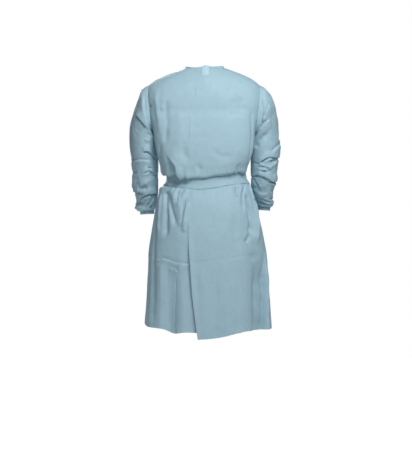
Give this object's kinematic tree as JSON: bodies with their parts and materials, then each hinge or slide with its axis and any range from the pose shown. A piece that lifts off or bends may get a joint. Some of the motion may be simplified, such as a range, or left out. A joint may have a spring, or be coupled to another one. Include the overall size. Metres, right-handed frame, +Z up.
{
  "type": "chemotherapy gown",
  "caption": "Long-sleeved full-back protective gown in its worn form, with gathered cuffs, a neck tab and a belt of its own cloth tied in front.",
  "frame": {"origin": "between the shoulders at the height of the neck's root, where the wearer carries the gown", "axes": "+Z up, +X to the wearer's right, +Y to the wearer's front, so the closing back faces -Y"},
  "size_m": [0.623, 0.4103, 1.1116],
  "materials": {
    "gown_cloth": "light blue coated nonwoven, matt with a faint sheen",
    "fastener_tape": "paler blue hook and loop tape"
  },
  "bodies": {
    "root": {"front": "gown_cloth", "back_left": "gown_cloth", "back_right": "gown_cloth", "sleeve_left": "gown_cloth", "sleeve_right": "gown_cloth", "cuff_left": "gown_cloth", "cuff_right": "gown_cloth", "neck_binding": "gown_cloth", "neck_tab": "fastener_tape", "belt": "gown_cloth", "belt_knot": "gown_cloth", "belt_tail_left": "gown_cloth", "belt_tail_right": "gown_cloth"}
  },
  "joints": []
}
